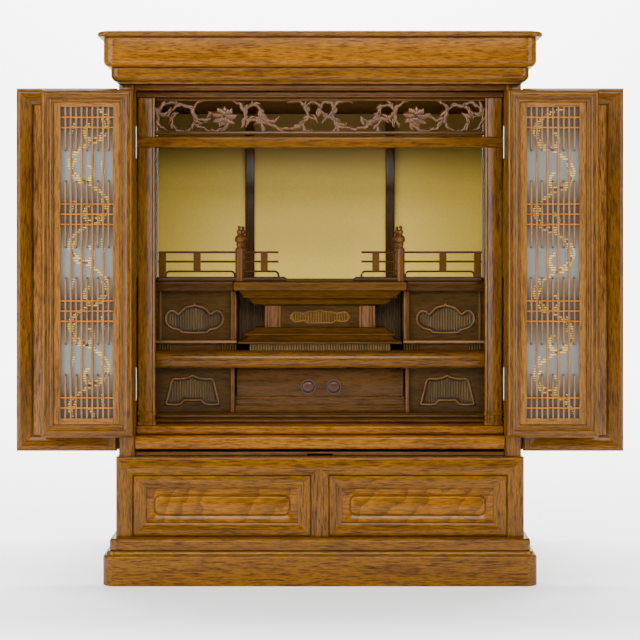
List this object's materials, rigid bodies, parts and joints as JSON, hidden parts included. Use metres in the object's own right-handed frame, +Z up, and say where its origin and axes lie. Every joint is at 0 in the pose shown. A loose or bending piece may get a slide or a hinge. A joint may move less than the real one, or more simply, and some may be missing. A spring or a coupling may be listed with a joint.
{
  "type": "household altar cabinet",
  "caption": "Table-top household altar cabinet with folding outer doors, folding lattice doors, drawers, a pull-out tray, an altar table and railings inside.",
  "frame": {"origin": "under the middle of the cabinet, on the surface it stands on, with its doors folded open", "axes": "+Z up, the front faces -Y, +X to the right as seen from the front"},
  "size_m": [0.669, 0.344, 0.6],
  "materials": {
    "oak": "glossy lacquer over open grain",
    "dark_oak": "semi-gloss lacquer, in the shade of the chamber",
    "carved_oak": "satin, hand carved",
    "gold_paper": "speckled gold paper, satin",
    "gauze": "sheer grey gauze with woven gold figures",
    "hinge_metal": "bright plated"
  },
  "bodies": {
    "cabinet": {"top_slab": "oak", "cornice_fascia": "oak", "cornice_step": "oak", "plinth_base": "oak", "plinth_step": "oak", "drawer_case": "oak", "pillar_left": "oak", "pillar_right": "oak", "side_board_left": "oak", "side_board_right": "oak", "back_board": "oak", "floor_board": "oak", "sill_rail": "oak", "stile_left": "oak", "stile_right": "oak", "lintel": "oak", "middle_shelf": "oak", "ceiling_board": "dark_oak", "header_rail": "dark_oak", "back_post_left": "dark_oak", "back_post_right": "dark_oak", "floor_platform": "dark_oak", "lower_front_left": "dark_oak", "lower_front_right": "dark_oak", "drawer_bed": "dark_oak", "wing_front_left": "dark_oak", "wing_front_right": "dark_oak", "wing_top_left": "dark_oak", "wing_top_right": "dark_oak", "altar_table": "dark_oak", "railing_left": "dark_oak", "railing_right": "dark_oak", "carved_transom": "carved_oak", "gold_wall": "gold_paper"},
    "outer_leaf_left_1": {"outer_leaf_left_1_frame": "oak", "outer_leaf_left_1_panel": "oak"},
    "outer_leaf_left_2": {"outer_leaf_left_2_frame": "oak", "outer_leaf_left_2_panel": "oak"},
    "lattice_leaf_left_1": {"lattice_leaf_left_1_frame": "oak", "lattice_leaf_left_1_lattice": "oak", "lattice_leaf_left_1_gauze": "gauze"},
    "lattice_leaf_left_2": {"lattice_leaf_left_2_frame": "oak", "lattice_leaf_left_2_lattice": "oak", "lattice_leaf_left_2_gauze": "gauze"},
    "outer_leaf_right_1": {"outer_leaf_right_1_frame": "oak", "outer_leaf_right_1_panel": "oak"},
    "outer_leaf_right_2": {"outer_leaf_right_2_frame": "oak", "outer_leaf_right_2_panel": "oak"},
    "lattice_leaf_right_1": {"lattice_leaf_right_1_frame": "oak", "lattice_leaf_right_1_lattice": "oak", "lattice_leaf_right_1_gauze": "gauze"},
    "lattice_leaf_right_2": {"lattice_leaf_right_2_frame": "oak", "lattice_leaf_right_2_lattice": "oak", "lattice_leaf_right_2_gauze": "gauze"},
    "drawer_left": {"drawer_left": "oak"},
    "drawer_right": {"drawer_right": "oak"},
    "tray": {"pull_out_tray": "oak"},
    "inner_drawer": {"inner_drawer": "dark_oak"}
  },
  "joints": [
    {"name": "doors_left", "type": "hinge", "parent": "cabinet", "child": "outer_leaf_left_1", "pos_m": [-0.2222, -0.1388, 0.342], "axis": [0, 0, -1], "range_deg": [-180, 0]},
    {"name": "outer_fold_left", "type": "hinge", "parent": "outer_leaf_left_1", "child": "outer_leaf_left_2", "pos_m": [-0.3333, -0.1238, 0.342], "axis": [0, 0, -1], "range_deg": [-180, 0]},
    {"name": "lattice_hinge_left", "type": "hinge", "parent": "cabinet", "child": "lattice_leaf_left_1", "pos_m": [-0.2014, -0.1383, 0.349], "axis": [0, 0, -1], "range_deg": [-180, 0]},
    {"name": "lattice_fold_left", "type": "hinge", "parent": "lattice_leaf_left_1", "child": "lattice_leaf_left_2", "pos_m": [-0.3021, -0.1543, 0.349], "axis": [0, 0, -1], "range_deg": [0, 180]},
    {"name": "doors_right", "type": "hinge", "parent": "cabinet", "child": "outer_leaf_right_1", "pos_m": [0.2222, -0.1388, 0.342], "axis": [0, 0, 1], "range_deg": [-180, 0]},
    {"name": "outer_fold_right", "type": "hinge", "parent": "outer_leaf_right_1", "child": "outer_leaf_right_2", "pos_m": [0.3333, -0.1238, 0.342], "axis": [0, 0, 1], "range_deg": [-180, 0]},
    {"name": "lattice_hinge_right", "type": "hinge", "parent": "cabinet", "child": "lattice_leaf_right_1", "pos_m": [0.2014, -0.1383, 0.349], "axis": [0, 0, 1], "range_deg": [-180, 0]},
    {"name": "lattice_fold_right", "type": "hinge", "parent": "lattice_leaf_right_1", "child": "lattice_leaf_right_2", "pos_m": [0.3021, -0.1543, 0.349], "axis": [0, 0, 1], "range_deg": [0, 180]},
    {"name": "drawer_left_slide", "type": "slide", "parent": "cabinet", "child": "drawer_left", "axis": [0, -1, 0], "range_m": [0, 0.16]},
    {"name": "drawer_right_slide", "type": "slide", "parent": "cabinet", "child": "drawer_right", "axis": [0, -1, 0], "range_m": [0, 0.16]},
    {"name": "tray_slide", "type": "slide", "parent": "cabinet", "child": "tray", "axis": [0, -1, 0], "range_m": [0, 0.15]},
    {"name": "inner_drawer_slide", "type": "slide", "parent": "cabinet", "child": "inner_drawer", "axis": [0, -1, 0], "range_m": [0, 0.08]}
  ],
  "couplings": [
    {"joint": "outer_fold_left", "follows": "doors_left", "ratio": 1},
    {"joint": "lattice_hinge_left", "follows": "doors_left", "ratio": 1},
    {"joint": "lattice_fold_left", "follows": "doors_left", "ratio": -1},
    {"joint": "outer_fold_right", "follows": "doors_right", "ratio": 1},
    {"joint": "lattice_hinge_right", "follows": "doors_right", "ratio": 1},
    {"joint": "lattice_fold_right", "follows": "doors_right", "ratio": -1}
  ]
}
